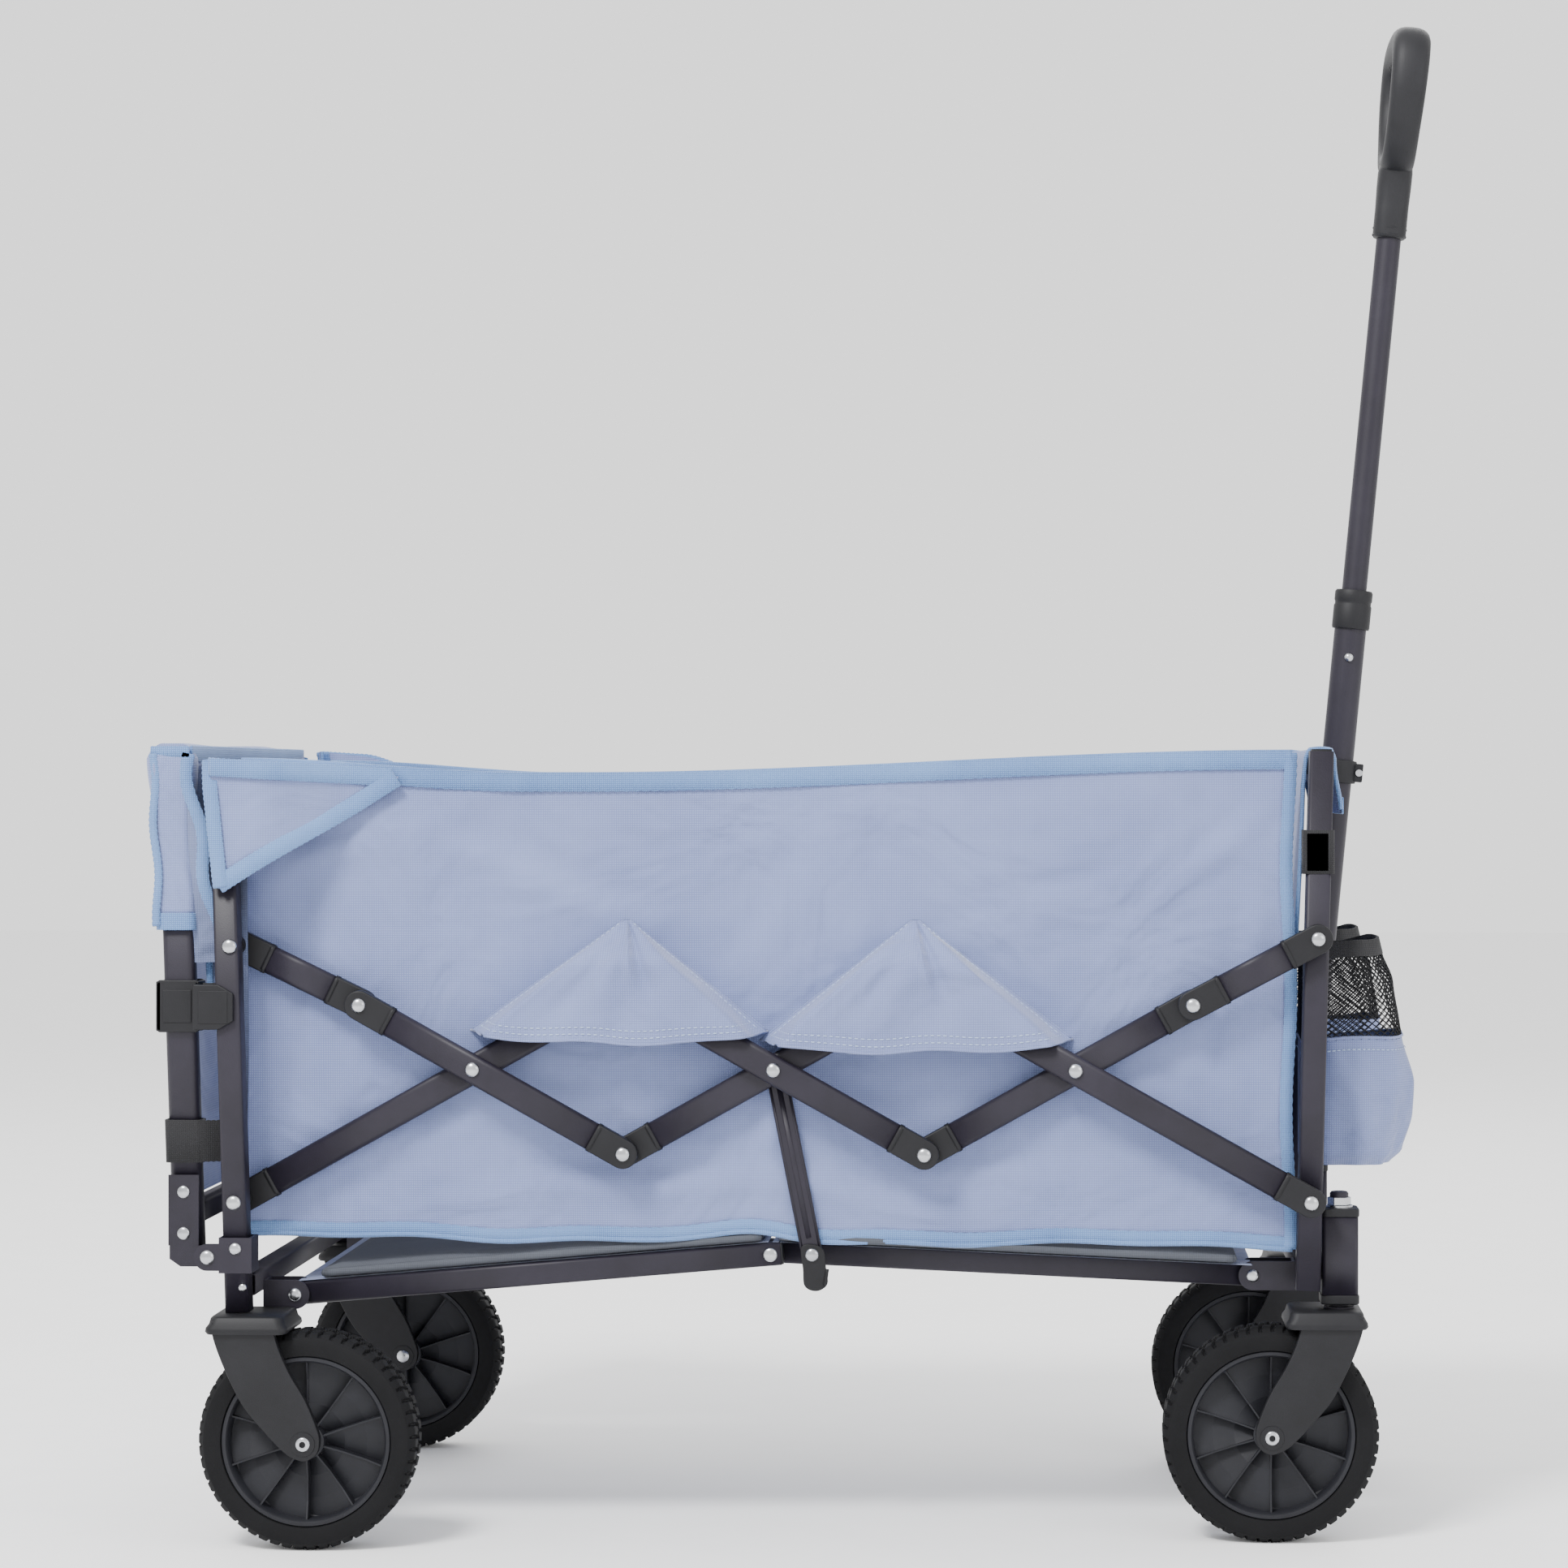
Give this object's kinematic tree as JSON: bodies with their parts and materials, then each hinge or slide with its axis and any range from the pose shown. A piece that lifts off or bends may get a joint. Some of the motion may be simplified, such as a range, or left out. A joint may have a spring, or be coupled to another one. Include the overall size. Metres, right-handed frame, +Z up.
{
  "type": "folding utility wagon",
  "caption": "Folding utility wagon with a scissor-linkage frame, fabric basket, drop-down tailgate, swivelling front wheels and a telescopic pull handle.",
  "frame": {"origin": "centre of the bounding box's base, on the ground under the wagon", "axes": "+X forward to the handle end, +Y to the wagon's left, +Z up"},
  "size_m": [1.0648, 0.5312, 1.2827],
  "materials": {
    "tyre": "matte with chunky tread",
    "rim_plastic": "matte",
    "black_plastic": "satin",
    "grip_plastic": "satin",
    "zinc": "bright zinc plated",
    "blue_fabric": "woven polyester",
    "grey_mat": "woven cover over a board",
    "black_webbing": "woven webbing",
    "dark_steel": "satin powder coat"
  },
  "bodies": {
    "rear_frame": {"rear_posts": "dark_steel", "rear_cross_tube": "dark_steel", "rear_brackets": "dark_steel", "rear_forks": "black_plastic", "rear_fasteners": "zinc", "side_fabric": "blue_fabric"},
    "bar_a": {"bar_a": "dark_steel"},
    "bar_b": {"bar_b": "dark_steel", "bar_b_ends": "black_plastic", "rivets_b": "zinc"},
    "bar_c": {"bar_c": "dark_steel"},
    "bar_d": {"bar_d": "dark_steel", "bar_d_ends": "black_plastic", "rivets_d": "zinc"},
    "bar_e": {"bar_e": "dark_steel"},
    "bar_f": {"bar_f": "dark_steel", "bar_f_ends": "black_plastic", "rivets_f": "zinc"},
    "link_rear": {"link_rear": "dark_steel"},
    "link_front": {"link_front": "dark_steel"},
    "floor_rear": {"floor_frame_rear": "dark_steel", "floor_mat_rear": "grey_mat", "floor_hinge_rivets": "zinc"},
    "floor_front": {"floor_frame_front": "dark_steel", "floor_mat_front": "grey_mat"},
    "struts": {"struts": "dark_steel"},
    "hooks": {"hooks": "dark_steel"},
    "front_frame": {"front_posts": "dark_steel", "front_cross_tubes": "dark_steel", "caster_housings": "dark_steel", "housing_caps": "black_plastic", "front_brackets": "dark_steel", "front_fasteners": "zinc", "front_panel": "blue_fabric", "bottle_pockets": "blue_fabric", "front_straps": "black_webbing"},
    "gate": {"gate_frame": "dark_steel", "gate_panel": "blue_fabric", "gate_clips": "black_plastic", "gate_straps": "black_webbing", "gate_channels": "dark_steel", "gate_rivets": "zinc"},
    "handle_outer": {"handle_outer_tube": "dark_steel", "handle_collar": "black_plastic", "handle_clip": "black_plastic"},
    "handle_inner": {"handle_inner_tube": "dark_steel", "handle_grip": "grip_plastic"},
    "button": {"snap_button": "zinc"},
    "caster_right": {"caster_fork_right": "black_plastic", "caster_axle_right": "zinc"},
    "wheel_front_right": {"tyre_front_right": "tyre", "rim_front_right": "rim_plastic"},
    "wheel_rear_right": {"tyre_rear_right": "tyre", "rim_rear_right": "rim_plastic"},
    "caster_left": {"caster_fork_left": "black_plastic", "caster_axle_left": "zinc"},
    "wheel_front_left": {"tyre_front_left": "tyre", "rim_front_left": "rim_plastic"},
    "wheel_rear_left": {"tyre_rear_left": "tyre", "rim_rear_left": "rim_plastic"}
  },
  "joints": [
    {"name": "fold", "type": "hinge", "parent": "rear_frame", "child": "bar_a", "pos_m": [-0.46597, 0, 0.28238], "axis": [0, -1, 0], "range_deg": [0, 48.8], "deforming": ["side_fabric"]},
    {"name": "pivot_x1", "type": "hinge", "parent": "bar_a", "child": "bar_b", "pos_m": [-0.2734, 0, 0.39], "axis": [0, -1, 0], "range_deg": [-98.1, 0.5]},
    {"name": "pivot_bm1", "type": "hinge", "parent": "bar_b", "child": "bar_c", "pos_m": [-0.14944, 0, 0.32072], "axis": [0, -1, 0], "range_deg": [-0.5, 98.1]},
    {"name": "pivot_t1", "type": "hinge", "parent": "bar_a", "child": "bar_d", "pos_m": [-0.14944, 0, 0.45928], "axis": [0, -1, 0], "range_deg": [-98.1, 0.5]},
    {"name": "pivot_bm2", "type": "hinge", "parent": "bar_d", "child": "bar_e", "pos_m": [0.09846, 0, 0.32072], "axis": [0, -1, 0], "range_deg": [-0.5, 98.1]},
    {"name": "pivot_x3", "type": "hinge", "parent": "bar_e", "child": "bar_f", "pos_m": [0.22242, 0, 0.39], "axis": [0, -1, 0], "range_deg": [-98.1, 0.5]},
    {"name": "pivot_f", "type": "hinge", "parent": "bar_f", "child": "front_frame", "pos_m": [0.41499, 0, 0.28238], "axis": [0, -1, 0], "range_deg": [-0.5, 49.3]},
    {"name": "pivot_a", "type": "hinge", "parent": "rear_frame", "child": "link_rear", "pos_m": [-0.4695, 0, 0.492], "axis": [0, -1, 0], "range_deg": [-0.5, 102.75]},
    {"name": "pivot_e", "type": "hinge", "parent": "front_frame", "child": "link_front", "pos_m": [0.4207, 0, 0.498], "axis": [0, -1, 0], "range_deg": [-103.57, 0.5]},
    {"name": "floor_rear_hinge", "type": "hinge", "parent": "rear_frame", "child": "floor_rear", "pos_m": [-0.425, 0, 0.201], "axis": [0, -1, 0], "range_deg": [-0.5, 85.62], "deforming": ["floor_mat_rear"]},
    {"name": "floor_front_hinge", "type": "hinge", "parent": "front_frame", "child": "floor_front", "pos_m": [0.3697, 0, 0.217], "axis": [0, -1, 0], "range_deg": [-69.89, 0.5], "deforming": ["floor_mat_front"]},
    {"name": "strut_swing", "type": "hinge", "parent": "bar_d", "child": "struts", "pos_m": [-0.02549, 0, 0.39], "axis": [0, -1, 0], "range_deg": [-0.5, 38.1]},
    {"name": "hook_swing", "type": "hinge", "parent": "struts", "child": "hooks", "pos_m": [0.005, 0, 0.236], "axis": [0, -1, 0], "range_deg": [-5, 30]},
    {"name": "gate_hinge", "type": "hinge", "parent": "rear_frame", "child": "gate", "pos_m": [-0.487, 0, 0.238], "axis": [0, -1, 0], "range_deg": [0, 90]},
    {"name": "caster_swivel_right", "type": "hinge", "parent": "front_frame", "child": "caster_right", "pos_m": [0.4405, -0.178, 0.2], "axis": [0, 0, 1], "continuous": true},
    {"name": "wheel_front_right_spin", "type": "hinge", "parent": "caster_right", "child": "wheel_front_right", "pos_m": [0.3835, -0.178, 0.089], "axis": [0, 1, 0], "continuous": true},
    {"name": "wheel_rear_right_spin", "type": "hinge", "parent": "rear_frame", "child": "wheel_rear_right", "pos_m": [-0.4045, -0.23, 0.089], "axis": [0, 1, 0], "continuous": true},
    {"name": "caster_swivel_left", "type": "hinge", "parent": "front_frame", "child": "caster_left", "pos_m": [0.4405, 0.178, 0.2], "axis": [0, 0, 1], "continuous": true},
    {"name": "wheel_front_left_spin", "type": "hinge", "parent": "caster_left", "child": "wheel_front_left", "pos_m": [0.3835, 0.178, 0.089], "axis": [0, 1, 0], "continuous": true},
    {"name": "wheel_rear_left_spin", "type": "hinge", "parent": "rear_frame", "child": "wheel_rear_left", "pos_m": [-0.4045, 0.23, 0.089], "axis": [0, 1, 0], "continuous": true},
    {"name": "handle_pivot", "type": "hinge", "parent": "front_frame", "child": "handle_outer", "pos_m": [0.4142, 0, 0.254], "axis": [0, 1, 0], "range_deg": [0, 95]},
    {"name": "handle_telescope", "type": "slide", "parent": "handle_outer", "child": "handle_inner", "axis": [0.0976, 0, 0.9952], "range_m": [-0.3, 0]},
    {"name": "snap_button_press", "type": "slide", "parent": "handle_outer", "child": "button", "axis": [0, 1, 0], "range_m": [0, 0.003], "stiffness_N_per_m": 300}
  ],
  "couplings": [
    {"joint": "pivot_x1", "follows": "fold", "ratio": -2},
    {"joint": "pivot_bm1", "follows": "fold", "ratio": 2},
    {"joint": "pivot_t1", "follows": "fold", "ratio": -2},
    {"joint": "pivot_bm2", "follows": "fold", "ratio": 2},
    {"joint": "pivot_x3", "follows": "fold", "ratio": -2},
    {"joint": "pivot_f", "follows": "fold", "ratio": 1},
    {"joint": "pivot_a", "follows": "fold", "ratio": 2.0953},
    {"joint": "pivot_e", "follows": "fold", "ratio": -2.112},
    {"joint": "floor_rear_hinge", "follows": "fold", "ratio": 1.7442},
    {"joint": "floor_front_hinge", "follows": "fold", "ratio": -1.422},
    {"joint": "strut_swing", "follows": "fold", "ratio": 0.77051}
  ]
}
